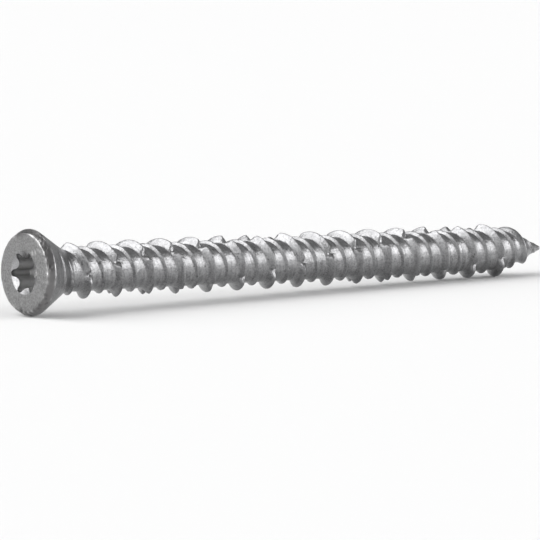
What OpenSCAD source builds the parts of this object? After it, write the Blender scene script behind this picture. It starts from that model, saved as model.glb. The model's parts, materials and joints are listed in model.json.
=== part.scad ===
// Countersunk concrete screw with a tall and a low thread, lying on a flat surface.
// Millimetres. The screw lies along X with its head at the low end and its point at the high end.

/* [Screw] */
// Length from the face of the head to the point
screw_l = 91.2; // [60:0.1:140]

/* [Head] */
// Widest diameter of the head
head_d = 11.7; // [11:0.1:14]
// Diameter of the flat face
face_d = 10.6; // [8:0.1:11.4]
// Height of the bevelled rim between the face and the widest diameter
rim_h = 1.0; // [0.4:0.1:1.6]
// Height of the head, from the face to where its cone meets the core
head_h = 6.0; // [4.5:0.1:8]

/* [Drive recess] */
// Across the lobes of the hexalobular recess
lobe_d = 5.6; // [5:0.1:6.6]
// Across the ribs between the lobes
rib_d = 3.95; // [3.3:0.05:4.3]
// Radius at the tip of each lobe
lobe_tip_r = 0.46; // [0.3:0.02:0.6]
// Depth of the full recess below the face
recess_depth = 3.1; // [2:0.1:3.6]
// Depth of the cone that leads the driver bit in
lead_in_depth = 0.45; // [0.2:0.05:0.8]
// Turn of the recess about the axis
recess_turn = 25; // [0:1:59]

/* [Thread] */
// Outside diameter of the tall thread
thread_d = 7.6; // [7:0.1:8.5]
// Outside diameter of the low thread
low_thread_d = 6.45; // [6:0.05:6.9]
// Diameter of the core between the threads
core_d = 5.6; // [5:0.1:5.8]
// Distance from one turn of the tall thread to the next
lead = 5.21; // [4.4:0.01:6]
// Width of the tall thread at the core
tall_base_w = 1.45; // [1:0.05:1.6]
// Width of the tall thread's crest
tall_crest_w = 0.18; // [0.14:0.01:0.5]
// Width of the low thread at the core
low_base_w = 0.9; // [0.6:0.05:1.2]
// Width of the low thread's crest
low_crest_w = 0.14; // [0.1:0.01:0.4]
// Where the crest of the tall thread would pass under the axis next to the face
thread_start = 4.35; // [0:0.05:6]

/* [Cutting notches] */
// Depth of the notches across the tall thread
notch_depth = 0.6; // [0.1:0.05:0.8]
// Facets of the thread in one turn
facets = 25; // [20:1:30]
// Facets from one notch to the next
notch_pitch = 8; // [6:1:12]
// Number of the first notched facet
notch_first = 2; // [0:1:5]

/* [Point] */
// Length of the tapered point
point_l = 7.2; // [5:0.1:12]
// Diameter of the blunt end of the point
tip_d = 0.6; // [0.4:0.05:1.2]
// Length at the point where the thread has run out
bare_l = 2.0; // [1:0.1:4]

/* [Hidden] */
$fn = 96;

head_r = head_d / 2;
face_r = face_d / 2;
thread_r = thread_d / 2;
core_r = core_d / 2;
tip_r = tip_d / 2;
tall_h = thread_r - core_r;
low_h = low_thread_d / 2 - core_r;

// The cone under the head: how far below the face it has a given radius
cone_slope = (head_h - rim_h) / (head_r - core_r);
function cone_depth(r) = rim_h + (head_r - r) * cone_slope;

// Thread and head overlap inside the cone, and each ends this far inside the other
overlap = 0.25;
thread_from = cone_depth(thread_r + overlap);
head_to = cone_depth(core_r - overlap);

// The point narrows to its blunt end, whose edge is rounded off over the last bit
tip_round = tip_r * 0.6;
thread_to = screw_l - tip_round;
taper_from = screw_l - point_l;

// The core and the share of the thread's height that is left, at a distance z from the face
function core_at(z) =
    z <= taper_from ? core_r
    : core_r + (tip_r - core_r) * (z - taper_from) / (thread_to - taper_from);
function thread_share(z) =
    z <= thread_from || z >= screw_l - bare_l ? 0
    : z <= taper_from ? 1
    : sqrt((screw_l - bare_l - z) / (point_l - bare_l));

// One lead of the thread's profile: distance from the tall crest along the axis, height, and
// how far the point moves along and down its flank where a notch is cut
flank_run = (tall_base_w - tall_crest_w) / 2 / tall_h;
profile = [
    [-tall_base_w / 2, 0, 0],
    [-tall_crest_w / 2, tall_h, -1],
    [tall_crest_w / 2, tall_h, 1],
    [tall_base_w / 2, 0, 0],
    [lead / 2 - low_base_w / 2, 0, 0],
    [lead / 2 - low_crest_w / 2, low_h, 0],
    [lead / 2 + low_crest_w / 2, low_h, 0],
    [lead / 2 + low_base_w / 2, 0, 0],
];
in_lead = len(profile);

// The thread is a grid of axial columns of points, one column for each facet around the core.
// A column holds the profile once for each lead, cut off at both ends of the threaded length.
facet_angle = 360 / facets;
half_facet = facet_angle / 2;
first_lead = floor((thread_from - thread_start) / lead) - 2;
last_lead = ceil((thread_to - thread_start) / lead) + 1;
in_column = in_lead * (last_lead - first_lead + 1);

function facet_number(column, i) = column + facets * (first_lead + floor(i / in_lead));
function notched(n) = (n - notch_first + notch_pitch * 100) % notch_pitch == 0;
function crest_z(n) = thread_start + lead * (n * facet_angle + half_facet) / 360;
function cut_at(column, i) =
    notched(facet_number(column, i)) ? notch_depth * profile[i % in_lead][2] : 0;
function raw_z(column, i) =
    crest_z(facet_number(column, i)) + profile[i % in_lead][0] + flank_run * cut_at(column, i);
function point_z(column, i) = min(max(raw_z(column, i), thread_from), thread_to);
function point_r(column, i) =
    let (z = point_z(column, i))
    core_at(z) + (profile[i % in_lead][1] - abs(cut_at(column, i))) * thread_share(z);
function around(column, r, z) =
    let (a = column * facet_angle + half_facet)
    [r * cos(a), r * sin(a), z];

// Points past an end of the column all stand for the last one inside it
first_in = [for (c = [0:facets - 1])
    len([for (i = [0:in_column - 1]) if (raw_z(c, i) <= thread_from) i]) - 1];
last_in = [for (c = [0:facets - 1])
    in_column - len([for (i = [0:in_column - 1]) if (raw_z(c, i) >= thread_to) i])];
function grid_index(column, i) =
    let (
        c = column % facets,
        along = i + in_lead * floor(column / facets),
        held = min(max(along, first_in[c]), last_in[c])
    )
    c * (in_column + 1) + held;
function tip_index(column) = (column % facets) * (in_column + 1) + in_column;

function triangle(a, b, c) = a == b || b == c || c == a ? [] : [[a, b, c]];
function quad(a, b, c, d) = concat(triangle(a, b, c), triangle(a, c, d));

module threaded_shank() {
    columns = [0:facets - 1];
    points = [for (c = columns)
        each concat(
            [for (i = [0:in_column - 1]) around(c, point_r(c, i), point_z(c, i))],
            [around(c, tip_r - tip_round, screw_l)]
        )];
    flanks = [for (c = columns, i = [0:in_column - 2])
        each quad(grid_index(c, i), grid_index(c, i + 1), grid_index(c + 1, i + 1), grid_index(c + 1, i))];
    tip = [for (c = columns)
        each quad(grid_index(c, in_column - 1), tip_index(c), tip_index(c + 1), grid_index(c + 1, in_column - 1))];
    neck_cap = [[for (c = columns) grid_index(c, 0)]];
    tip_cap = [[for (c = columns) tip_index(facets - 1 - c)]];
    polyhedron(points, concat(flanks, tip, neck_cap, tip_cap), convexity = 8);
}

module head() {
    rotate_extrude()
        polygon([
            [0, 0],
            [face_r, 0],
            [head_r, rim_h],
            [core_r - overlap, head_to],
            [0, head_to],
        ]);
}

// Six round lobes joined by six round ribs, every arc tangent to the next
module recess_outline() {
    lobe_c = lobe_d / 2 - lobe_tip_r;
    // The rib's radius follows from the two arcs touching on the line between their centres
    near = rib_d / 2;
    rib_r = (lobe_c ^ 2 + near ^ 2 - 2 * lobe_c * near * cos(30) - lobe_tip_r ^ 2)
        / (2 * (lobe_tip_r + lobe_c * cos(30) - near));
    rib_c = near + rib_r;
    difference() {
        union() {
            polygon([for (k = [0:11])
                let (r = k % 2 == 0 ? lobe_c : rib_c)
                [r * cos(30 * k), r * sin(30 * k)]]);
            for (k = [0:5])
                rotate(60 * k) translate([lobe_c, 0]) circle(lobe_tip_r);
        }
        for (k = [0:5])
            rotate(60 * k + 30) translate([rib_c, 0]) circle(rib_r);
    }
}

// The mouth is opened by a cone that is nearly as wide as the lobes at the face and runs out on
// the ribs. The floor dips to a blunt centre.
module drive_recess() {
    past_face = 0.5;
    short_of_tips = 0.05;
    lead_in_r = lobe_d / 2 - short_of_tips;
    lead_in_slope = (lead_in_r - rib_d / 2) / lead_in_depth;
    past_ribs = 0.15;
    floor_r = 0.42 * rib_d;
    rotate(recess_turn) {
        translate([0, 0, -past_face])
            linear_extrude(recess_depth + past_face) recess_outline();
        translate([0, 0, -past_face])
            cylinder(
                h = past_face + lead_in_depth + past_ribs,
                r1 = lead_in_r + past_face * lead_in_slope,
                r2 = rib_d / 2 - past_ribs * lead_in_slope
            );
        rotate_extrude()
            polygon([
                [0, recess_depth - past_ribs],
                [floor_r, recess_depth - past_ribs],
                [floor_r, recess_depth],
                [floor_r / 4, recess_depth + floor_r / 2],
                [0, recess_depth + floor_r / 2],
            ]);
    }
}

module upright_screw() {
    difference() {
        union() {
            head();
            threaded_shank();
        }
        drive_recess();
    }
}

// At rest the rim of the head and the last full turn of the tall thread touch the surface,
// so the axis dips a little towards the point. A flat of the thread lies at the bottom.
rest_edge = lead * half_facet / 360 + tall_crest_w / 2;
turns_to_rest = floor((taper_from - rest_edge - thread_start) / lead);
rest_turn_z = thread_start + lead * turns_to_rest + rest_edge;
rest_r = thread_r * cos(half_facet);
rest_dip = asin((head_r - rest_r) / (rest_turn_z - rim_h));
axis_height = head_r * cos(rest_dip) + rim_h * sin(rest_dip);
half_reach = (screw_l * cos(rest_dip) - face_r * sin(rest_dip)) / 2;

module screw() {
    color([0.58, 0.58, 0.57])
        translate([-half_reach, 0, axis_height])
            rotate([0, 90 + rest_dip, 0])
                upright_screw();
}

screw();
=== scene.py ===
"""Countersunk concrete screw with a tall and a low thread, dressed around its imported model.

The whole screw is one closed surface. It is worked out in the screw's own frame, with its axis
along Z from the face of the head to the point, and is then laid down where the model says.
"""

import json
import math

import bpy
import numpy as np
from mathutils import Matrix, Vector


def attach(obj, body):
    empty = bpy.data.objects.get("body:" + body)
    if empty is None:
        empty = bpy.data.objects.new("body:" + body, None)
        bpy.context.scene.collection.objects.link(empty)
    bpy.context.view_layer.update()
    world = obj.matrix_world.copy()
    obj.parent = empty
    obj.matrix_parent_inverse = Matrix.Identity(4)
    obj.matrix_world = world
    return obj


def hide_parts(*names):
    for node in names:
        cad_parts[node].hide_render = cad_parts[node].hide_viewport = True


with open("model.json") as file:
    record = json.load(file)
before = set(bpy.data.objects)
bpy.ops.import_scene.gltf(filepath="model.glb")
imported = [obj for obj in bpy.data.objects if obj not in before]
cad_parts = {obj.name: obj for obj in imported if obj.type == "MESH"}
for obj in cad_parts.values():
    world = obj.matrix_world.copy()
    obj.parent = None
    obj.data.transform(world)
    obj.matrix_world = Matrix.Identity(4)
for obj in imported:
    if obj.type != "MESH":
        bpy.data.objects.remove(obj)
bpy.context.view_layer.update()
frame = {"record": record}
HEAD_FACE = next(m for m in frame["record"]["mounts"] if m["name"] == "head_face")

bl_info = {
    "name": "Concrete screw",
    "version": (1, 0, 0),
    "blender": (4, 5, 0),
    "location": "3D View > Sidebar > Concrete screw",
    "description": "Builds a zinc coated concrete screw and the table it lies on",
    "category": "Object",
}

NODE = "screw"
TURN = 2 * math.pi

# Columns of points round the axis, from the bottom through the far side to the top
COLUMNS = 184
ANGLES = TURN * np.arange(COLUMNS) / COLUMNS

# How far single notches stray from their rows: distance from the face in millimetres, and angle in
# degrees towards the near side from the top
NOTCH_DRIFT = np.array([
    (8.2, 11), (13.2, -5), (14.9, 1), (18.2, -4), (19.9, 1), (23.2, 3), (24.9, 2), (28.2, 8),
    (29.9, 1), (33.2, 5), (34.9, -1), (38.2, 4), (39.9, -2), (43.2, 0), (44.8, -2), (49.8, -9),
    (51.5, 7), (54.8, -6), (56.5, 5), (59.8, -2.5), (61.5, 3), (64.8, -2), (66.5, 6), (69.8, -8),
    (71.4, 3), (74.8, -10), (76.4, 6), (79.8, -10), (81.4, 5),
])

# How steep the two walls of a notch are, how ragged they are, and how far the first one leans
WALL_STEEPNESS = (1.25, 0.95)
WALL_RAGGED = 0.06
WALL_LEAN = 0.85

# The floor of a notch: how round it is, how far it drops below its walls' foot, and how fast it
# rises out of the threads on the point
FLOOR_ROUND = 0.03
FLOOR_DROP = 0.1
FLOOR_RISE = 12

# How far the height of the tall crest wavers, and how much wider its thread gets up to the tip
CREST_WAVE = 0.02
POINT_WIDENING = 1.2

# The length over which the threads run out, in lengths of the point, and the power they follow
RUN_OUT = 1.15
RUN_OUT_POWER = 2.6

# Widths over which corners are rounded: on a thread as a share of its flank, the others in metres
RIDGE_ROUNDING = 0.10
NOTCH_ROUNDING = 0.0001
FLOOR_ROUNDING = 0.0002
CONE_ROUNDING = 0.00022
MOUTH_ROUNDING = 0.00006

# The step on the cone of the head: distance from the face, distance past the tall crest, height,
# and the lengths over which it rises, falls off and fades along the axis
STEP_Z = 0.00365
STEP_PAST_CREST = 0.00066
STEP_H = 0.00012
STEP_RISE = 0.0002
STEP_FALL = 0.0007
STEP_FADE = 0.0002

# How uneven the rim of the head is: slow and quick waves, dips of the face's edge and their width
RIM_SLOW = 0.00002
RIM_QUICK = 0.000018
EDGE_DIP = 0.00006
EDGE_DIP_W = 0.00026

# Widths of the wear on the widest edge and on the edge of the face, and the lengths over which the
# looks of the face, the rim and the mouth fade into each other
WIDE_WEAR_W = 0.00016
EDGE_WEAR_W = 0.00022
FACE_FADE = 0.0002
RIM_FADE = 0.0003
MOUTH_FADE = 0.00008

# How far flecks change the roughness, and the share to which the axis is shortened for streaks
FLECK_ROUGHNESS = 0.16
AXIS_SHARE = 0.7

# The point towards which dents in the head are pressed
HEAD_MIDDLE = np.array([0.0, 0.0, 0.0025])

# Lamps: name, which is also the name of the strength, direction from the object, width in degrees
LAMPS = [
    ("back_lamp", (-0.66, 0.43, 0.62), 70),
    ("front_lamp", (0.55, -0.82, 0.14), 68),
    ("upper_lamp", (0.62, -0.62, 0.47), 31),
    ("side_lamp", (-0.93, -0.20, 0.31), 50),
]

# How far the face of the head lies to the left of the middle of the picture, and below it
FACE_LEFT = 0.03240
FACE_BELOW = 0.000396


class ScrewSizes(bpy.types.PropertyGroup):
    """Sizes of the head, the recess and the point"""

    length: bpy.props.FloatProperty(
        name="Length", description="From the face of the head to the point",
        default=0.09108, unit="LENGTH")
    head_d: bpy.props.FloatProperty(
        name="Head", description="Widest diameter of the head",
        default=0.01169, unit="LENGTH")
    face_d: bpy.props.FloatProperty(
        name="Face", description="Diameter of the flat face",
        default=0.0106, unit="LENGTH")
    rim_h: bpy.props.FloatProperty(
        name="Rim", description="Height of the bevelled rim",
        default=0.001, unit="LENGTH")
    head_h: bpy.props.FloatProperty(
        name="Head height", description="From the face to the end of the cone",
        default=0.006, unit="LENGTH")
    edge_r: bpy.props.FloatProperty(
        name="Edge rounding", description="Radius of the widest edge",
        default=0.00024, unit="LENGTH")
    face_edge_r: bpy.props.FloatProperty(
        name="Face edge rounding", description="Radius of the edge of the face",
        default=0.00025, unit="LENGTH")
    mouth_d: bpy.props.FloatProperty(
        name="Recess mouth", description="Diameter of the lead-in cone at the face",
        default=0.00562, unit="LENGTH")
    lobe_d: bpy.props.FloatProperty(
        name="Across lobes", description="Across the lobes of the recess",
        default=0.0058, unit="LENGTH")
    rib_d: bpy.props.FloatProperty(
        name="Across ribs", description="Across the ribs of the recess",
        default=0.00395, unit="LENGTH")
    lobe_tip_r: bpy.props.FloatProperty(
        name="Lobe tip", description="Radius at the tip of each lobe",
        default=0.00046, unit="LENGTH")
    recess_depth: bpy.props.FloatProperty(
        name="Recess depth", description="Depth of the full recess below the face",
        default=0.0031, unit="LENGTH")
    lead_in_depth: bpy.props.FloatProperty(
        name="Lead-in depth", description="Depth of the cone across the ribs",
        default=0.00045, unit="LENGTH")
    recess_turn: bpy.props.FloatProperty(
        name="Recess turn", description="Turn of the recess about the axis",
        default=math.radians(25), subtype="ANGLE")
    point_l: bpy.props.FloatProperty(
        name="Point", description="Length of the tapered point",
        default=0.0076, unit="LENGTH")
    tip_r: bpy.props.FloatProperty(
        name="Tip", description="Radius of the rounded end of the point",
        default=0.00036, unit="LENGTH")
    bare_l: bpy.props.FloatProperty(
        name="Bare point", description="Length at the point without thread",
        default=0.0006, unit="LENGTH")


class ThreadSizes(bpy.types.PropertyGroup):
    """Sizes of the two threads and of the notches across them"""

    thread_d: bpy.props.FloatProperty(
        name="Tall thread", description="Outside diameter of the tall thread",
        default=0.0076, unit="LENGTH")
    low_thread_d: bpy.props.FloatProperty(
        name="Low thread", description="Outside diameter of the low thread",
        default=0.00645, unit="LENGTH")
    core_d: bpy.props.FloatProperty(
        name="Core", description="Diameter of the core between the threads",
        default=0.0056, unit="LENGTH")
    lead: bpy.props.FloatProperty(
        name="Lead", description="From one turn of the tall thread to the next",
        default=0.00521, unit="LENGTH")
    tall_base_w: bpy.props.FloatProperty(
        name="Tall base", description="Width of the tall thread at the core",
        default=0.00138, unit="LENGTH")
    tall_crest_w: bpy.props.FloatProperty(
        name="Tall crest", description="Width of the tall thread's crest",
        default=0.00012, unit="LENGTH")
    low_base_w: bpy.props.FloatProperty(
        name="Low base", description="Width of the low thread at the core",
        default=0.0007, unit="LENGTH")
    low_crest_w: bpy.props.FloatProperty(
        name="Low crest", description="Width of the low thread's crest",
        default=0.0001, unit="LENGTH")
    thread_start: bpy.props.FloatProperty(
        name="Start", description="Where the tall crest passes under the axis next to the face",
        default=0.00435, unit="LENGTH")
    notch_r: bpy.props.FloatProperty(
        name="Notch floor", description="Distance of the notch floors from the axis",
        default=0.00314, unit="LENGTH")
    notch_w: bpy.props.FloatProperty(
        name="Notch width", description="Angle that a notch takes up on the tall crest",
        default=math.radians(30), subtype="ANGLE")
    notch_rows: bpy.props.IntProperty(
        name="Notch rows", description="Rows of notches round the screw", default=3)
    notch_turn: bpy.props.FloatProperty(
        name="Notch turn", description="Where the first row of notches starts at the face",
        default=math.radians(294.4), subtype="ANGLE")
    notch_twist: bpy.props.FloatProperty(
        name="Notch twist", description="Angle that a row of notches turns back per millimetre",
        default=math.radians(3.056), subtype="ANGLE")


class CoatingLook(bpy.types.PropertyGroup):
    """Colours and gloss of the zinc coating"""

    silver: bpy.props.FloatVectorProperty(
        name="Silver", description="Colour of the coating",
        default=(0.406, 0.407, 0.414), subtype="COLOR", min=0, max=1)
    shade: bpy.props.FloatVectorProperty(
        name="Shade", description="Colour of the darker flecks and clouds",
        default=(0.181, 0.18, 0.184), subtype="COLOR", min=0, max=1)
    worn: bpy.props.FloatVectorProperty(
        name="Worn edge", description="Colour of edges rubbed bright",
        default=(0.52, 0.52, 0.52), subtype="COLOR", min=0, max=1)
    # This colour also serves the marks of painted shade on the head.
    pit: bpy.props.FloatVectorProperty(
        name="Pit", description="Colour in pits and chips",
        default=(0.087, 0.085, 0.086), subtype="COLOR", min=0, max=1)
    rim: bpy.props.FloatVectorProperty(
        name="Rim", description="Colour of the rim, where the coating is thin",
        default=(0.17, 0.167, 0.168), subtype="COLOR", min=0, max=1)
    face: bpy.props.FloatVectorProperty(
        name="Face", description="Colour of the light flecks on the face of the head",
        default=(0.272, 0.272, 0.272), subtype="COLOR", min=0, max=1)
    face_shade: bpy.props.FloatVectorProperty(
        name="Face shade", description="Colour of the dark flecks on the face of the head",
        default=(0.17, 0.17, 0.17), subtype="COLOR", min=0, max=1)
    # Painted light: a lighter colour deep in the recess, which stands in for the light the recess
    # would take in.
    inside: bpy.props.FloatVectorProperty(
        name="Inside", description="Colour of the thick coating in the recess",
        default=(0.50, 0.50, 0.50), subtype="COLOR", min=0, max=1)
    satin: bpy.props.FloatProperty(
        name="Satin", description="Roughness of the threads",
        default=0.30, subtype="FACTOR", min=0, max=1)
    matte: bpy.props.FloatProperty(
        name="Matte", description="Roughness of the face of the head",
        default=0.52, subtype="FACTOR", min=0, max=1)


class StageLook(bpy.types.PropertyGroup):
    """The table, the lamps and the camera"""

    floor: bpy.props.FloatVectorProperty(
        name="Table", description="Colour of the table",
        default=(0.815, 0.815, 0.815), subtype="COLOR", min=0, max=1)
    floor_w: bpy.props.FloatProperty(
        name="Table size", description="Width of the table", default=6.0, unit="LENGTH")
    back_lamp: bpy.props.FloatProperty(
        name="Back lamp", description="Strength of the lamp behind the head", default=2.8)
    front_lamp: bpy.props.FloatProperty(
        name="Front lamp", description="Strength of the low lamp beside the camera", default=2.1)
    upper_lamp: bpy.props.FloatProperty(
        name="Upper lamp", description="Strength of the lamp above the front lamp", default=0.32)
    side_lamp: bpy.props.FloatProperty(
        name="Side lamp", description="Strength of the lamp in front of the face", default=0.67)
    room: bpy.props.FloatProperty(
        name="Room", description="Strength of the light from all round", default=0.40)
    lens: bpy.props.FloatProperty(
        name="Lens", description="Focal length of the camera in millimetres", default=310.3)
    distance: bpy.props.FloatProperty(
        name="Distance", description="From the camera to the face of the head, along the view",
        default=0.61283, unit="LENGTH")
    turn: bpy.props.FloatProperty(
        name="Camera turn", description="Angle between the screw and the camera's direction",
        default=math.radians(51.34), subtype="ANGLE")
    height: bpy.props.FloatProperty(
        name="Camera height", description="Angle at which the camera looks down",
        default=math.radians(5.95), subtype="ANGLE")


def soft_max(a, b, k):
    """The larger of a and b, with the corner where they cross rounded over the width k."""
    h = np.clip(0.5 + 0.5 * (a - b) / k, 0, 1)
    return b + (a - b) * h + k * h * (1 - h)


def soft_min(a, b, k):
    """The smaller of a and b, with the corner where they cross rounded over the width k."""
    return -soft_max(-a, -b, k)


def ripple(angle, seed, waves):
    """A smooth random curve round the axis: sine waves of the given counts, each with its own
    random phase, added up and scaled to about -1 to 1. With whole counts it closes after a turn."""
    phases = np.random.default_rng(seed).uniform(0, TURN, len(waves))
    parts = np.sin(np.multiply.outer(angle, waves) + phases)
    return parts.sum(-1) / math.sqrt(len(waves))


def ridge(distance, base, crest, height):
    """A thread's section: flat at the crest, straight flanks down to the base, zero beyond it.
    The share of the flank is clipped between 0 and 1 with both corners rounded."""
    share = (base / 2 - np.abs(distance)) / ((base - crest) / 2)
    return height * soft_max(soft_min(share, 1.0, RIDGE_ROUNDING), 0.0, RIDGE_ROUNDING)


def lobed_radius(angle, size):
    """Outline of the recess, as a distance from the axis at each angle.
    Each lobe is a circle about a point on its own centre line and each rib is a circle about a
    point between two lobes. The rib's radius is the one at which neighbouring circles touch, and
    the outline changes from one to the other at the point where they touch."""
    lobe_r = size.lobe_tip_r
    lobe_c = size.lobe_d / 2 - lobe_r
    near = size.rib_d / 2
    twelfth = math.radians(30)
    rib_r = (lobe_c ** 2 + near ** 2 - 2 * lobe_c * near * math.cos(twelfth) - lobe_r ** 2) / (
        2 * (lobe_r + lobe_c * math.cos(twelfth) - near))
    rib_c = near + rib_r
    lobe_at = np.array([lobe_c, 0.0])
    rib_at = rib_c * np.array([math.cos(twelfth), math.sin(twelfth)])
    touch = lobe_at + (rib_at - lobe_at) * lobe_r / (lobe_r + rib_r)
    touch_angle = math.atan2(touch[1], touch[0])
    off = np.abs((angle + twelfth) % (2 * twelfth) - twelfth)
    lobe_side = np.minimum(off, touch_angle)
    rib_side = twelfth - np.maximum(off, touch_angle)
    on_lobe = lobe_c * np.cos(lobe_side) + np.sqrt(lobe_r ** 2 - (lobe_c * np.sin(lobe_side)) ** 2)
    on_rib = rib_c * np.cos(rib_side) - np.sqrt(rib_r ** 2 - (rib_c * np.sin(rib_side)) ** 2)
    return np.where(off < touch_angle, on_lobe, on_rib)


def rounded_corner(before, corner, after, radius, steps):
    """Points on the arc that rounds a corner of an outline: the arc touches both sides, and its
    centre lies on the line that halves the corner."""
    before, corner, after = (np.array(p, float) for p in (before, corner, after))
    u = (before - corner) / np.linalg.norm(before - corner)
    v = (after - corner) / np.linalg.norm(after - corner)
    half = math.acos(np.clip(u @ v, -1, 1)) / 2
    centre = corner + (u + v) / np.linalg.norm(u + v) * radius / math.sin(half)
    start = corner + u * radius / math.tan(half) - centre
    end = corner + v * radius / math.tan(half) - centre
    t = np.linspace(0, 1, steps)[:, None]
    arc = start * (1 - t) + end * t
    return centre + arc / np.linalg.norm(arc, axis=1, keepdims=True) * radius


def cone_radius(z, size, thread):
    """The cone under the head: from the widest radius at the rim it narrows to the core."""
    head_r, core_r = size.head_d / 2, thread.core_d / 2
    return head_r + (core_r - head_r) * (z - size.rim_h) / (size.head_h - size.rim_h)


def point_taper(z, size):
    """How far along the point a place z lies, from 0 at its start to 1 at the tip, and the share of
    the threads' height that is left there. The share starts to fall a little before the point: it
    is 1 less a power of the way gone from there to the bare tip."""
    taper_from = size.length - size.point_l
    taper = np.clip((z - taper_from) / (size.length - size.tip_r - taper_from), 0, 1)
    left = np.clip((size.length - size.bare_l - z) / (RUN_OUT * size.point_l - size.bare_l), 0, 1)
    return taper, 1 - (1 - left) ** RUN_OUT_POWER


def notch_offset(z, angle, past_crest, turns, thread):
    """Angle from the nearest notch, in half widths of a notch. The rows of notches wind slowly
    backwards, and single notches stray from them, each as a whole along the tall thread. One wall
    is steeper than the other, and both are a little ragged."""
    gap = TURN / thread.notch_rows
    on_tall = np.clip(2 - 2 * np.abs(past_crest) / thread.tall_base_w, 0, 1)
    drift = np.interp(1000 * (z - past_crest * on_tall), *NOTCH_DRIFT.T)
    off = angle + thread.notch_twist * z * 1000 - thread.notch_turn - np.radians(drift)
    off = ((off + gap / 2) % gap - gap / 2) / (thread.notch_w / 2)
    ragged = WALL_RAGGED * ripple(turns, 4, [7, 11, 17, 23])
    return off * np.where(off > 0, *WALL_STEEPNESS) + ragged


def notched_height(tall, low, off, past_crest, taper, thread):
    """Height of both threads above the core, after the notches have cut off what stands above them.
    A notch is a V-shaped groove with a rounded floor, and it ends where the point starts. Its first
    wall leans away from the head, so that it meets the flank on the head's side in an edge and
    falls off behind it."""
    core_r, thread_r = thread.core_d / 2, thread.thread_d / 2
    tall_h = thread_r - core_r
    wall = np.sqrt(off ** 2 + FLOOR_ROUND) - FLOOR_DROP
    groove = thread.notch_r + (thread_r - thread.notch_r) * wall
    groove = groove - core_r + tall_h * np.clip(FLOOR_RISE * taper, 0, 1)
    flank_run = (thread.tall_base_w - thread.tall_crest_w) / 2 / tall_h
    behind = past_crest + thread.tall_crest_w / 2 + (tall_h - groove) * flank_run
    lean = WALL_LEAN * np.clip(0.4 - 2 * off, 0, 1)
    leaning = soft_max(groove - lean * behind, 0, NOTCH_ROUNDING)
    tall = soft_min(tall, leaning, NOTCH_ROUNDING)
    return np.minimum(soft_min(tall + low, groove, FLOOR_ROUNDING), tall_h)


def cone_step(z, past_crest):
    """Height of the low step that the first turn leaves on the cone of the head: it rises towards
    the thread and falls off again."""
    on_cone = np.clip(3.0 - np.abs(z - STEP_Z) / STEP_FADE, 0, 1)
    past_step = past_crest - STEP_PAST_CREST
    step = np.clip(0.5 + past_step / STEP_RISE, 0, 1) * np.clip(1 - past_step / STEP_FALL, 0, 1)
    return STEP_H * on_cone * step


def shank_radius(z, angle, size, thread):
    """Distance of the threaded surface from the axis, at a distance z from the face.
    The core is straight and narrows to the tip over the point. Both ridges stand on it, with
    their distance from the crest line taken round the lead, and lose height on the point, where
    the tall one also widens. The notches cut across them, and the cone of the head swallows the
    first turn."""
    core_r = thread.core_d / 2
    taper, share = point_taper(z, size)
    core = core_r + (size.tip_r - core_r) * taper

    lead = thread.lead
    along = z - thread.thread_start - lead * angle / TURN
    turns = TURN * (z - thread.thread_start) / lead
    past_crest = (along + lead / 2) % lead - lead / 2
    tall = ridge(past_crest / (1 + POINT_WIDENING * taper),
                 thread.tall_base_w, thread.tall_crest_w, thread.thread_d / 2 - core_r)
    tall = tall * (1 + CREST_WAVE * ripple(turns, 3, [0.31, 0.83, 1.7, 2.9]))
    low = ridge(along % lead - lead / 2,
                thread.low_base_w, thread.low_crest_w, thread.low_thread_d / 2 - core_r)

    off = notch_offset(z, angle, past_crest, turns, thread)
    r = core + share * notched_height(tall, low, off, past_crest, taper, thread)
    cone = cone_radius(z, size, thread) + cone_step(z, past_crest)
    return soft_max(r, cone, CONE_ROUNDING)


def thread_stations(thread):
    """Distances along one lead, from a tall crest, at which the surface is worked out: close
    together on the crests and at the foot of each flank, far apart on the core."""
    flank = (thread.tall_base_w - thread.tall_crest_w) / 2
    tall = thread.tall_crest_w / 2 + flank * np.array([-0.04, 0.07, 0.20, 0.80, 0.96, 1.12])
    low_flank = (thread.low_base_w - thread.low_crest_w) / 2
    low = thread.low_crest_w / 2 + low_flank * np.array([0.0, 0.20, 0.78, 0.97, 1.15])
    half = thread.lead / 2
    middle = (tall[-1] + half - low[-1]) / 2
    first = np.concatenate([[0.0], tall, [middle], half - low[::-1], [half]])
    return np.unique(np.round(np.concatenate([-first[1:-1], first]), 9))


class Surface:
    """Collects the vertices and faces of one closed surface."""

    def __init__(self):
        self.points = []
        self.quads = []
        self.triangles = []
        self.count = 0

    def add(self, points):
        """Adds points, an array that ends in three coordinates, and returns their numbers."""
        flat = points.reshape(-1, 3)
        numbers = np.arange(self.count, self.count + len(flat)).reshape(points.shape[:-1])
        self.points.append(flat)
        self.count += len(flat)
        return numbers

    def join(self, a, b, c, d):
        """Adds quads a b c d. Where two corners are one point, the quad becomes a triangle."""
        corners = np.stack([a.ravel(), b.ravel(), c.ravel(), d.ravel()], 1)
        same_ab = corners[:, 0] == corners[:, 1]
        same_cd = corners[:, 2] == corners[:, 3]
        self.quads.append(corners[~same_ab & ~same_cd])
        self.triangles.append(corners[same_ab & ~same_cd][:, [0, 2, 3]])
        self.triangles.append(corners[~same_ab & same_cd][:, [0, 1, 2]])

    def rings(self, numbers):
        """Joins each ring of points to the next: a row of the array is a closed ring."""
        a, b = numbers[:-1], numbers[1:]
        self.join(a, b, np.roll(b, -1, 1), np.roll(a, -1, 1))

    def fan(self, ring, pole):
        """Closes a ring with triangles that meet in one point."""
        after = np.roll(ring, -1)
        self.triangles.append(np.stack([ring, np.full_like(ring, pole), after], 1))


def polar(r, angle, z):
    """Points at a distance r from the axis, at an angle round it and a distance z along it."""
    r, angle, z = np.broadcast_arrays(r, angle, z)
    return np.stack([r * np.cos(angle), r * np.sin(angle), z], -1)


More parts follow.
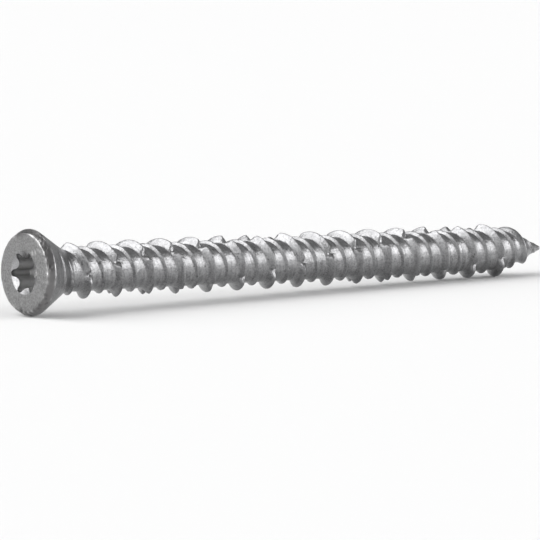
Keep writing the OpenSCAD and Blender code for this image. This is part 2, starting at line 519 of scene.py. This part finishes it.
def threaded_rings(surface, size, thread, start, end):
    """Adds the threaded length as a grid whose rows wind with the thread, so that every crest and
    every foot of a flank is a row. A column holds the stations once for each lead, and each column
    starts a little further along than the one before. Past either end all points of a column are
    the same point. Returns the numbers of the first and the last ring."""
    angle = ANGLES[:, None]
    stations = thread_stations(thread)
    per_lead = len(stations)
    first_lead = math.floor((start - thread.thread_start) / thread.lead) - 2
    last_lead = math.ceil((end - thread.thread_start) / thread.lead) + 2
    leads = np.arange(first_lead, last_lead + 1) * thread.lead
    rows = (leads[:, None] + stations).ravel() + thread.thread_start
    z = np.clip(rows + thread.lead * angle / TURN, start, end)
    first = (z <= start).sum(1) - 1
    last = z.shape[1] - (z >= end).sum(1)
    r = shank_radius(z, angle, size, thread)
    used = np.arange(z.shape[1])
    used = (used >= first[:, None]) & (used <= last[:, None])
    numbers = np.full(z.shape, -1)
    numbers[used] = surface.add(polar(r, angle, z)[used])
    column = np.arange(COLUMNS)[:, None]
    row = np.arange(z.shape[1])[None, :]
    held = numbers[column, np.clip(row, first[:, None], last[:, None])]
    shifted = np.clip(row[0] + per_lead, first[0], last[0])
    beside = np.vstack([held[1:], numbers[0, shifted][None, :]])
    surface.join(held[:, 1:], held[:, :-1], beside[:, :-1], beside[:, 1:])
    return held[:, 0], held[:, -1]


def head_outline(size, thread, start):
    """Rows of the head's outside, from the cone to the edge of the face: the straight sides of
    the cone and the rim, with an arc at the widest edge and an arc at the edge of the face."""
    cone = (cone_radius(start, size, thread), start)
    wide = (size.head_d / 2, size.rim_h)
    edge = (size.face_d / 2, 0.0)
    inner = (size.lobe_d / 2, 0.0)
    first = rounded_corner(cone, wide, edge, size.edge_r, 6)
    second = rounded_corner(wide, edge, inner, size.face_edge_r, 8)
    side = np.linspace(cone, first[0], 9)[1:-1]
    rim = np.linspace(first[-1], second[0], 9)[1:-1]
    return np.concatenate([side, first, rim, second])


def head_rings(size, thread, start):
    """Rings of the head, from the cone over the rim and the face into the recess.
    The outside is the outline turned round the axis. On the face the rings change evenly from
    the edge to the mouth. In the recess each point keeps its angle, and its distance from the
    axis is that of the lobed outline or of the lead-in cone, whichever is larger. The floor is
    flat at the foot of the wall and then dips as a cone."""
    outside = head_outline(size, thread, start)
    lobed = lobed_radius(ANGLES - size.recess_turn, size)
    mouth_r = size.mouth_d / 2
    slope = (mouth_r - size.rib_d / 2) / size.lead_in_depth

    def wall(depth):
        return soft_max(lobed, mouth_r - slope * depth, MOUTH_ROUNDING)

    def ring(values):
        return np.repeat(values, COLUMNS, 1)

    edge_r = outside[-1, 0]
    lip = 0.00006
    share = np.array([0.03, 0.06, 0.1, 0.15, 0.21, 0.27, 0.33, 0.4, 0.47, 0.54, 0.61, 0.68, 0.76,
                      0.84, 0.92, 1.0])[:, None]
    face = edge_r * (1 - share) + (wall(0.0) + lip) * share
    lip_rows = np.array([0.35, 0.08])[:, None] * lip
    lip_z = np.array([0.10, 0.42])[:, None] * lip
    drawn_depth = 3.1
    depths = np.array([0.05, 0.1, 0.15, 0.2, 0.25, 0.3, 0.35, 0.4, 0.45, 0.5, 0.6, 0.85, 1.2, 1.7,
                       2.2, 2.6, 2.85, 3.0])
    depths = depths[:, None] / drawn_depth * size.recess_depth
    foot_r = np.array([0.985, 0.94])[:, None] * lobed
    foot_z = np.array([0.985, 1.0])[:, None] * size.recess_depth
    floor_r = 0.42 * size.rib_d
    dip = np.array([1.0, 0.75, 0.5, 0.25])[:, None]
    dip_z = size.recess_depth + (1 - dip) * floor_r * 2 / 3
    r = np.concatenate([ring(outside[:, :1]), face, wall(0.0) + lip_rows, wall(depths), foot_r,
                        ring(dip * floor_r)])
    z = np.concatenate([ring(outside[:, 1:]), 0 * face, ring(lip_z), ring(depths), ring(foot_z),
                        ring(dip_z)])
    return polar(r, ANGLES, z)


def dented(points, dents, centre):
    """Presses shallow dents into the points: each is a bell of the given width and depth about
    its place, and moves points towards the middle of the head."""
    for angle, r, z, width, depth, _ in dents:
        place = polar(r, math.radians(angle), z)
        inward = (centre - place) / np.linalg.norm(centre - place)
        gap = np.linalg.norm(points - place, axis=-1, keepdims=True) / width
        points = points + inward * depth * np.exp(-gap ** 2)
    return points


# Marks on the head: angle in degrees, distance from the axis, distance from the face, width, depth
# and how dark it is, or how bright if below zero. Most stand for the chips and nicks that a coated
# head gets. The dark ones without depth at the top of the recess's mouth and along the top of the
# face's edge are painted shade, the latter dimming the edge's highlight there, and the one at the
# bottom of the mouth is a darker patch.
HEAD_MARKS = [
    (256, 0.00550, 0.00035, 0.00034, 0.00014, 1.0),
    (299, 0.00540, 0.00022, 0.00024, 0.00012, 0.9),
    (304, 0.00545, 0.00030, 0.00022, 0.00010, 0.9),
    (319, 0.00530, 0.00012, 0.00030, 0.00012, 0.9),
    (326, 0.00540, 0.00022, 0.00036, 0.00010, 0.9),
    (336, 0.00532, 0.00012, 0.00032, 0.00006, 0.8),
    (345, 0.00530, 0.00010, 0.00034, 0.00006, 0.9),
    (354, 0.00526, 0.00008, 0.00032, 0.00006, 0.8),
    (6, 0.00520, 0.00006, 0.00042, 0.00016, 1.0),
    (247, 0.00390, 0.00000, 0.00016, 0.00006, 0.8),
    (193, 0.00505, 0.00000, 0.00018, 0.00007, 0.5),
    (212, 0.00332, 0.00000, 0.00017, 0.00008, -1.0),
    (215, 0.00322, 0.00000, 0.00015, 0.00006, -0.8),
    (219, 0.00384, 0.00000, 0.00017, 0.00008, -0.9),
    (222, 0.00372, 0.00000, 0.00014, 0.00006, -0.7),
    (223, 0.00452, 0.00000, 0.00019, 0.00007, -0.6),
    (228, 0.00470, 0.00000, 0.00020, 0.00006, -0.6),
    (231, 0.00432, 0.00000, 0.00018, 0.00007, 0.1),
    (238, 0.00425, 0.00000, 0.00016, 0.00006, 0.2),
    # Painted shade on the lead-in at the top of the recess's mouth; the last of these four is a
    # darker patch at the mouth's bottom.
    (182, 0.00236, 0.00024, 0.00062, 0.00000, 1.0),
    (183, 0.00212, 0.00038, 0.00050, 0.00000, 1.0),
    (169, 0.00218, 0.00034, 0.00052, 0.00000, 1.0),
    (2, 0.00240, 0.00026, 0.00050, 0.00000, 0.50),
    # Painted shade: dark marks without depth along the top of the face's edge, which dim its
    # highlight there.
    *((angle, 0.00526, 0.00006, 0.00034, 0.00000, 1.0) for angle in range(163, 184, 5)),
    (188, 0.00526, 0.00006, 0.00030, 0.00000, 0.8),
]


def uneven_rim(points, size):
    """Makes the rim of the head a little uneven: points on it move towards the axis by a random
    curve round the axis, most at the middle of the rim and not at all on the cone, and the edge
    of the face dips by another on the near side."""
    r = np.hypot(points[..., 0], points[..., 1])
    angle = np.arctan2(points[..., 1], points[..., 0])
    z = points[..., 2]
    past_edge = r - size.face_d / 2
    past_middle = (z - 0.45 * size.rim_h) / (0.5 * size.rim_h)
    on_rim = np.exp(-past_middle ** 2) * (r > 0.9 * size.face_d / 2)
    slow = ripple(angle, 5, [3, 7, 11, 16])
    quick = ripple(angle + 260 * z, 6, [19, 27, 38])
    inward = RIM_SLOW * np.clip(1.2 + slow, 0, 3) + RIM_QUICK * np.clip(1 + quick, 0, 2)
    scale = 1 - inward * on_rim / np.maximum(r, 0.001)
    at_edge = np.exp(-(past_edge / EDGE_DIP_W) ** 2) * (z < 0.3 * size.rim_h)
    dip = EDGE_DIP * np.clip(0.5 + ripple(angle, 8, [4, 9, 15, 24, 36]), 0, 2.5)
    dip *= np.clip(0.4 - np.sin(angle), 0, 1)
    uneven = points * np.stack([scale, scale, np.ones_like(scale)], -1)
    uneven[..., 2] += dip * at_edge
    return uneven


def screw_surface(size, thread):
    """The whole screw: threaded length, head with recess, and rounded tip, joined ring to ring."""
    surface = Surface()
    start, end = 0.5 * size.head_h, size.length - 1.2 * size.tip_r
    neck, last = threaded_rings(surface, size, thread, start, end)

    head = head_rings(size, thread, start)
    head = dented(uneven_rim(head, size), HEAD_MARKS, HEAD_MIDDLE)
    head_numbers = surface.add(head)
    surface.rings(np.vstack([neck[None, :], head_numbers]))
    blunt_dip = 0.0001
    floor_z = head[-1, 0, 2] + blunt_dip
    surface.fan(head_numbers[-1], surface.add(np.array([[0.0, 0.0, floor_z]]))[0])

    lift = np.radians(np.array([15.0, 35.0, 55.0, 75.0]))[:, None]
    end_r = shank_radius(np.full(COLUMNS, end), ANGLES, size, thread).mean()
    tip = polar(end_r * np.cos(lift), ANGLES, end + (size.length - end) * np.sin(lift))
    tip_numbers = surface.add(tip)
    tip_rings = np.vstack([last[None, :], tip_numbers])
    surface.rings(tip_rings[:, ::-1])
    surface.fan(tip_numbers[-1, ::-1], surface.add(np.array([[0.0, 0.0, size.length]]))[0])
    return surface


def laid_down(points):
    """Moves points from the screw's own frame to where the model lies: its origin at the middle
    of the head's face, Z along the screw and X towards the surface below. The crest that rests
    on the surface is pressed flat against it."""
    along = -np.array(HEAD_FACE["axis"], float)
    along /= np.linalg.norm(along)
    side = np.array([0.0, 1.0, 0.0])
    down = np.cross(side, along)
    laid = points @ np.stack([down, side, along]) + np.array(HEAD_FACE["pos_m"], float)
    laid[:, 2] = np.maximum(laid[:, 2], 0)
    return laid


def wear_shares(points, size):
    """Shares for each point, by name: worn, for edges, lead-in and nicks that are rubbed bright;
    matte, for the face of the head; rim, for the bevel round it; inside, painted light that
    lightens the recess deeper down; and pit, for the chips on the head, for painted shade on the
    top of the face's edge and the top of the recess's mouth, and for a darker patch at the mouth's
    bottom, each a bell about its place."""
    r = np.hypot(points[:, 0], points[:, 1])
    z = points[:, 2]
    angle = np.arctan2(points[:, 1], points[:, 0])
    past_edge = r - size.face_d / 2
    past_mouth = r - size.mouth_d / 2
    wide = np.exp(-(((r - size.head_d / 2) ** 2 + (z - size.rim_h) ** 2) / WIDE_WEAR_W ** 2))
    edge = np.exp(-((past_edge ** 2 + z ** 2) / EDGE_WEAR_W ** 2))
    rubbed = np.clip(0.3 + 0.6 * ripple(angle, 11, [2, 5, 9, 17, 31]), 0, 1)
    lead_in = 0.1 * (past_mouth < 0) * np.clip(2 - 2 * z / size.lead_in_depth, 0, 1)
    head = z < size.head_h / 2
    pit = np.zeros(len(points))
    nick = np.zeros(len(points))
    for place_angle, place_r, place_z, width, _, dark in HEAD_MARKS:
        place = polar(place_r, math.radians(place_angle), place_z)
        bell = np.exp(-(np.linalg.norm(points - place, axis=1) / width) ** 2)
        pit = np.maximum(pit, dark * bell)
        nick = np.maximum(nick, -dark * bell)
    on_face = np.clip(-past_edge / FACE_FADE, 0, 1) * np.clip(past_mouth / MOUTH_FADE, 0, 1)
    off_face = np.clip((past_edge + FACE_FADE) / FACE_FADE, 0, 1)
    in_recess = (r < 0.51 * size.lobe_d) * (z < 0.7 * size.head_h)
    return {
        "worn": np.clip((wide + edge) * rubbed + lead_in + nick * head, 0, 1),
        "matte": (z < size.rim_h / 2) * on_face,
        "rim": off_face * np.clip((size.rim_h - z) / RIM_FADE + 0.5, 0, 1),
        # Painted light: this share grows with depth in the recess and lightens its colour.
        "inside": np.clip(z / size.lead_in_depth - 0.6, 0, 1) * in_recess,
        "pit": pit * head,
    }


def rolled_coordinates(points, thread):
    """A place for each point in a pattern that runs along the thread. The position across the
    thread, taken round the lead, goes round a circle whose girth is one lead, and the third
    coordinate is the distance along the axis, shortened, so that spots become streaks."""
    angle = np.arctan2(points[:, 1], points[:, 0])
    across = TURN * (points[:, 2] - thread.thread_start) / thread.lead - angle
    girth_r = thread.lead / TURN
    length = AXIS_SHARE * points[:, 2]
    return np.stack([girth_r * np.cos(across), girth_r * np.sin(across), length], 1)


def mesh_object(name, surface, points):
    """Makes a mesh object of a surface, whose points have been laid down."""
    quads = np.concatenate(surface.quads)
    triangles = np.concatenate(surface.triangles)
    corners = np.concatenate([quads.ravel(), triangles.ravel()])
    sizes = np.concatenate([np.full(len(quads), 4), np.full(len(triangles), 3)])
    mesh = bpy.data.meshes.new(name)
    mesh.vertices.add(len(points))
    mesh.vertices.foreach_set("co", points.astype(np.float32).ravel())
    mesh.loops.add(len(corners))
    mesh.loops.foreach_set("vertex_index", corners.astype(np.int32))
    mesh.polygons.add(len(sizes))
    mesh.polygons.foreach_set("loop_start", (np.cumsum(sizes) - sizes).astype(np.int32))
    mesh.polygons.foreach_set("use_smooth", np.ones(len(sizes), bool))
    mesh.update(calc_edges=True)
    if mesh.validate():
        raise RuntimeError(name + " has faces that Blender can't use")
    obj = bpy.data.objects.new(name, mesh)
    bpy.context.scene.collection.objects.link(obj)
    return obj


def point_shares(mesh, name, values):
    """Stores one number for each vertex under a name that a material can read."""
    attribute = mesh.attributes.new(name, "FLOAT", "POINT")
    attribute.data.foreach_set("value", values.astype(np.float32))


def point_places(mesh, name, places):
    """Stores three coordinates for each vertex under a name that a material can read."""
    attribute = mesh.attributes.new(name, "FLOAT_VECTOR", "POINT")
    attribute.data.foreach_set("vector", places.astype(np.float32).ravel())


def node(tree, kind, place, settings=None, **inputs):
    """Adds a shader node, sets its own values and the values of its inputs, or links them. An input
    goes by its name, or by an i and its number."""
    made = tree.nodes.new(kind)
    made.location = place
    for key, value in (settings or {}).items():
        setattr(made, key, value)
    for key, value in inputs.items():
        by_number = key[0] == "i" and key[1:].isdigit()
        socket = made.inputs[int(key[1:]) if by_number else key]
        if isinstance(value, bpy.types.NodeSocket):
            tree.links.new(value, socket)
        else:
            socket.default_value = value
    return made


def stored(tree, place, name, output="Fac"):
    """What was stored for the vertices under a name."""
    return node(tree, "ShaderNodeAttribute", place, {"attribute_name": name}).outputs[output]


def noise(tree, place, vector, scale, detail, roughness):
    """A cloudy pattern of numbers about one half."""
    return node(tree, "ShaderNodeTexNoise", place, Vector=vector, Scale=scale, Detail=detail,
                Roughness=roughness).outputs["Fac"]


def ranged(tree, place, value, low, high, first=0.0, last=1.0):
    """A number moved to another range, so that low becomes first and high becomes last."""
    return node(tree, "ShaderNodeMapRange", place, i0=value, i1=low, i2=high, i3=first,
                i4=last).outputs[0]


def worked_out(tree, place, operation, *values):
    """One number worked out from others."""
    inputs = {"i%d" % k: value for k, value in enumerate(values)}
    return node(tree, "ShaderNodeMath", place, {"operation": operation}, **inputs).outputs[0]


def mixed(tree, place, share, a, b):
    """Mixes two colours by a share."""
    return node(tree, "ShaderNodeMix", place, {"data_type": "RGBA"}, i0=share, i6=a,
                i7=b).outputs[2]


def opaque(colour):
    """A colour with full alpha."""
    return (*colour, 1.0)


def zinc_coating(look):
    """Satin zinc coating on steel: streaks along the thread and fine flecks in the colour, a few
    dark specks, a fine grain in the bump, edges rubbed bright, and a rougher face. The recess is
    lightened deeper down, which is painted light, and the dark colour of the chips also carries
    marks of painted shade on the head."""
    material = bpy.data.materials.new("zinc_coating")
    material.use_nodes = True
    tree = material.node_tree
    tree.nodes.clear()
    place = node(tree, "ShaderNodeTexCoord", (-1400, 0)).outputs["Object"]
    rolled = stored(tree, (-1400, 300), "rolled", "Vector")
    streaks = noise(tree, (-1150, 300), rolled, 2100.0, 5.0, 0.65)
    flecks = noise(tree, (-1150, 50), place, 4200.0, 3.0, 0.65)
    specks = noise(tree, (-1150, -200), place, 1300.0, 2.0, 0.5)
    grain = noise(tree, (-1150, -450), place, 6500.0, 4.0, 0.6)
    dimples = noise(tree, (-1150, -700), place, 1900.0, 3.0, 0.6)
    worn, matte, inside, pit, rim = (
        stored(tree, (-1150, 550 + 200 * k), name)
        for k, name in enumerate(("worn", "matte", "inside", "pit", "rim")))

    streak_share = ranged(tree, (-900, 300), streaks, 0.35, 0.61)
    fleck_share = ranged(tree, (-900, 50), flecks, 0.37, 0.63)
    speck_share = ranged(tree, (-900, -200), specks, 0.69, 0.74, 0.0, 0.7)
    half_fleck = worked_out(tree, (-800, -60), "MULTIPLY", fleck_share, 0.5)
    both = worked_out(tree, (-700, 200), "MULTIPLY_ADD", streak_share, 0.5, half_fleck)
    colour = mixed(tree, (-450, 250), both, opaque(look.shade), opaque(look.silver))
    on_face = mixed(tree, (-450, 50), fleck_share, opaque(look.face_shade), opaque(look.face))
    colour = mixed(tree, (-425, 275), matte, colour, on_face)
    colour = mixed(tree, (-400, 300), rim, colour, opaque(look.rim))
    # Painted light: the recess is lightened deeper down.
    colour = mixed(tree, (-350, 350), inside, colour, opaque(look.inside))
    colour = mixed(tree, (-250, 450), worn, colour, opaque(look.worn))
    # Dark marks: chips and specks, and painted shade on the head.
    dark = worked_out(tree, (-300, 600), "MAXIMUM", pit, speck_share)
    colour = mixed(tree, (-150, 550), dark, colour, opaque(look.pit))

    dull = worked_out(tree, (-700, -200), "MAXIMUM", matte, inside)
    rough = ranged(tree, (-450, -50), dull, 0.0, 1.0, look.satin, look.matte)
    flecked = worked_out(tree, (-250, -50), "MULTIPLY_ADD", flecks, FLECK_ROUGHNESS, rough)
    rough = worked_out(tree, (-100, -50), "SUBTRACT", flecked, FLECK_ROUGHNESS / 2)

    streak_bump = node(tree, "ShaderNodeBump", (-850, -850), Strength=0.75, Distance=0.00008,
                       Height=streaks)
    wide_bump = node(tree, "ShaderNodeBump", (-650, -650), Strength=0.8, Distance=0.0001,
                     Height=dimples, Normal=streak_bump.outputs[0])
    bump = node(tree, "ShaderNodeBump", (-400, -450), Strength=0.5, Distance=0.00002,
                Height=grain, Normal=wide_bump.outputs[0])
    shader = node(tree, "ShaderNodeBsdfPrincipled", (100, 100), Metallic=1.0, Roughness=rough,
                  Normal=bump.outputs[0], **{"Base Color": colour})
    node(tree, "ShaderNodeOutputMaterial", (400, 100), Surface=shader.outputs[0])
    return material


class CONCRETE_SCREW_OT_make_screw(bpy.types.Operator):
    """Builds the screw in place of the plain solid and coats it"""

    bl_idname = "concrete_screw.make_screw"
    bl_label = "Make screw"

    def execute(self, context):
        scene = context.scene
        size, thread = scene.screw_sizes, scene.thread_sizes
        surface = screw_surface(size, thread)
        points = np.concatenate(surface.points)
        obj = mesh_object("concrete_screw", surface, laid_down(points))
        for name, share in wear_shares(points, size).items():
            point_shares(obj.data, name, share)
        point_places(obj.data, "rolled", rolled_coordinates(points, thread))
        obj.data.materials.append(zinc_coating(scene.coating_look))
        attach(obj, "root")
        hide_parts(NODE)
        return {"FINISHED"}


def floor_object(look):
    """A flat square table top at the height on which the screw lies."""
    half = look.floor_w / 2
    corners = np.array([[-half, -half, 0], [half, -half, 0], [half, half, 0], [-half, half, 0]])
    surface = Surface()
    numbers = surface.add(corners)
    surface.quads.append(numbers[None, :])
    surface.triangles.append(np.zeros((0, 3), int))
    obj = mesh_object("table", surface, corners)
    material = bpy.data.materials.new("table_white")
    material.use_nodes = True
    shader = material.node_tree.nodes["Principled BSDF"]
    shader.inputs["Base Color"].default_value = opaque(look.floor)
    shader.inputs["Roughness"].default_value = 0.9
    shader.inputs["Specular IOR Level"].default_value = 0.0
    obj.data.materials.append(material)
    return obj


def soft_lamp(name, towards, strength, width):
    """A broad soft lamp far away, in the direction given from the object."""
    data = bpy.data.lights.new(name, "SUN")
    data.energy = strength
    data.angle = math.radians(width)
    lamp = bpy.data.objects.new(name, data)
    lamp.rotation_mode = "QUATERNION"
    lamp.rotation_quaternion = Vector(towards).to_track_quat("Z", "Y")
    lamp.location = Vector(towards)
    bpy.context.scene.collection.objects.link(lamp)


def view_camera(look):
    """A long lens that looks along the screw from beside the head. The face of the head lies a
    fixed way to the left of the picture's middle, as seen at the camera's distance."""
    up = Vector((0, 0, 1))
    across = Vector((math.sin(look.turn), -math.cos(look.turn), 0))
    level = Vector((math.cos(look.turn), math.sin(look.turn), 0))
    ahead = level * math.cos(look.height) - up * math.sin(look.height)
    above = across.cross(ahead)
    middle = Vector(HEAD_FACE["pos_m"]) + across * FACE_LEFT + above * FACE_BELOW
    place = middle - ahead * look.distance
    data = bpy.data.cameras.new("camera")
    data.lens = look.lens
    data.sensor_width = 36.0
    data.clip_end = 100.0
    camera = bpy.data.objects.new("camera", data)
    turn = Matrix((across, above, -ahead)).transposed().to_4x4()
    camera.matrix_world = Matrix.Translation(place) @ turn
    bpy.context.scene.collection.objects.link(camera)
    bpy.context.scene.camera = camera


class CONCRETE_SCREW_OT_make_stage(bpy.types.Operator):
    """Adds the table, the lamps and the camera"""

    bl_idname = "concrete_screw.make_stage"
    bl_label = "Make stage"

    def execute(self, context):
        scene = context.scene
        look = scene.stage_look
        floor_object(look)
        for name, towards, width in LAMPS:
            soft_lamp(name, towards, getattr(look, name), width)
        world = bpy.data.worlds.new("room")
        world.use_nodes = True
        background = world.node_tree.nodes["Background"].inputs
        background["Color"].default_value = (1, 1, 1, 1)
        background["Strength"].default_value = look.room
        scene.world = world
        view_camera(look)
        scene.view_settings.view_transform = "Standard"
        return {"FINISHED"}


class CONCRETE_SCREW_PT_panel(bpy.types.Panel):
    """Lists the sizes and the steps"""

    bl_idname = "CONCRETE_SCREW_PT_panel"
    bl_label = "Concrete screw"
    bl_space_type = "VIEW_3D"
    bl_region_type = "UI"
    bl_category = "Concrete screw"

    def draw(self, context):
        for group in (context.scene.screw_sizes, context.scene.thread_sizes,
                      context.scene.coating_look, context.scene.stage_look):
            box = self.layout.box()
            for name in group.__annotations__:
                box.prop(group, name)
        self.layout.operator(CONCRETE_SCREW_OT_make_screw.bl_idname)
        self.layout.operator(CONCRETE_SCREW_OT_make_stage.bl_idname)


CLASSES = (ScrewSizes, ThreadSizes, CoatingLook, StageLook, CONCRETE_SCREW_OT_make_screw,
           CONCRETE_SCREW_OT_make_stage, CONCRETE_SCREW_PT_panel)
GROUPS = {"screw_sizes": ScrewSizes, "thread_sizes": ThreadSizes,
          "coating_look": CoatingLook, "stage_look": StageLook}


def register():
    """Adds the classes and hangs the groups of sizes on the scene."""
    for cls in CLASSES:
        bpy.utils.register_class(cls)
    for name, group in GROUPS.items():
        setattr(bpy.types.Scene, name, bpy.props.PointerProperty(type=group))


def unregister():
    """Takes everything off again."""
    for name in GROUPS:
        delattr(bpy.types.Scene, name)
    for cls in reversed(CLASSES):
        bpy.utils.unregister_class(cls)


def main():
    """Builds the screw and its stage."""
    register()
    bpy.ops.concrete_screw.make_screw()
    bpy.ops.concrete_screw.make_stage()


if __name__ == "__main__":
    main()
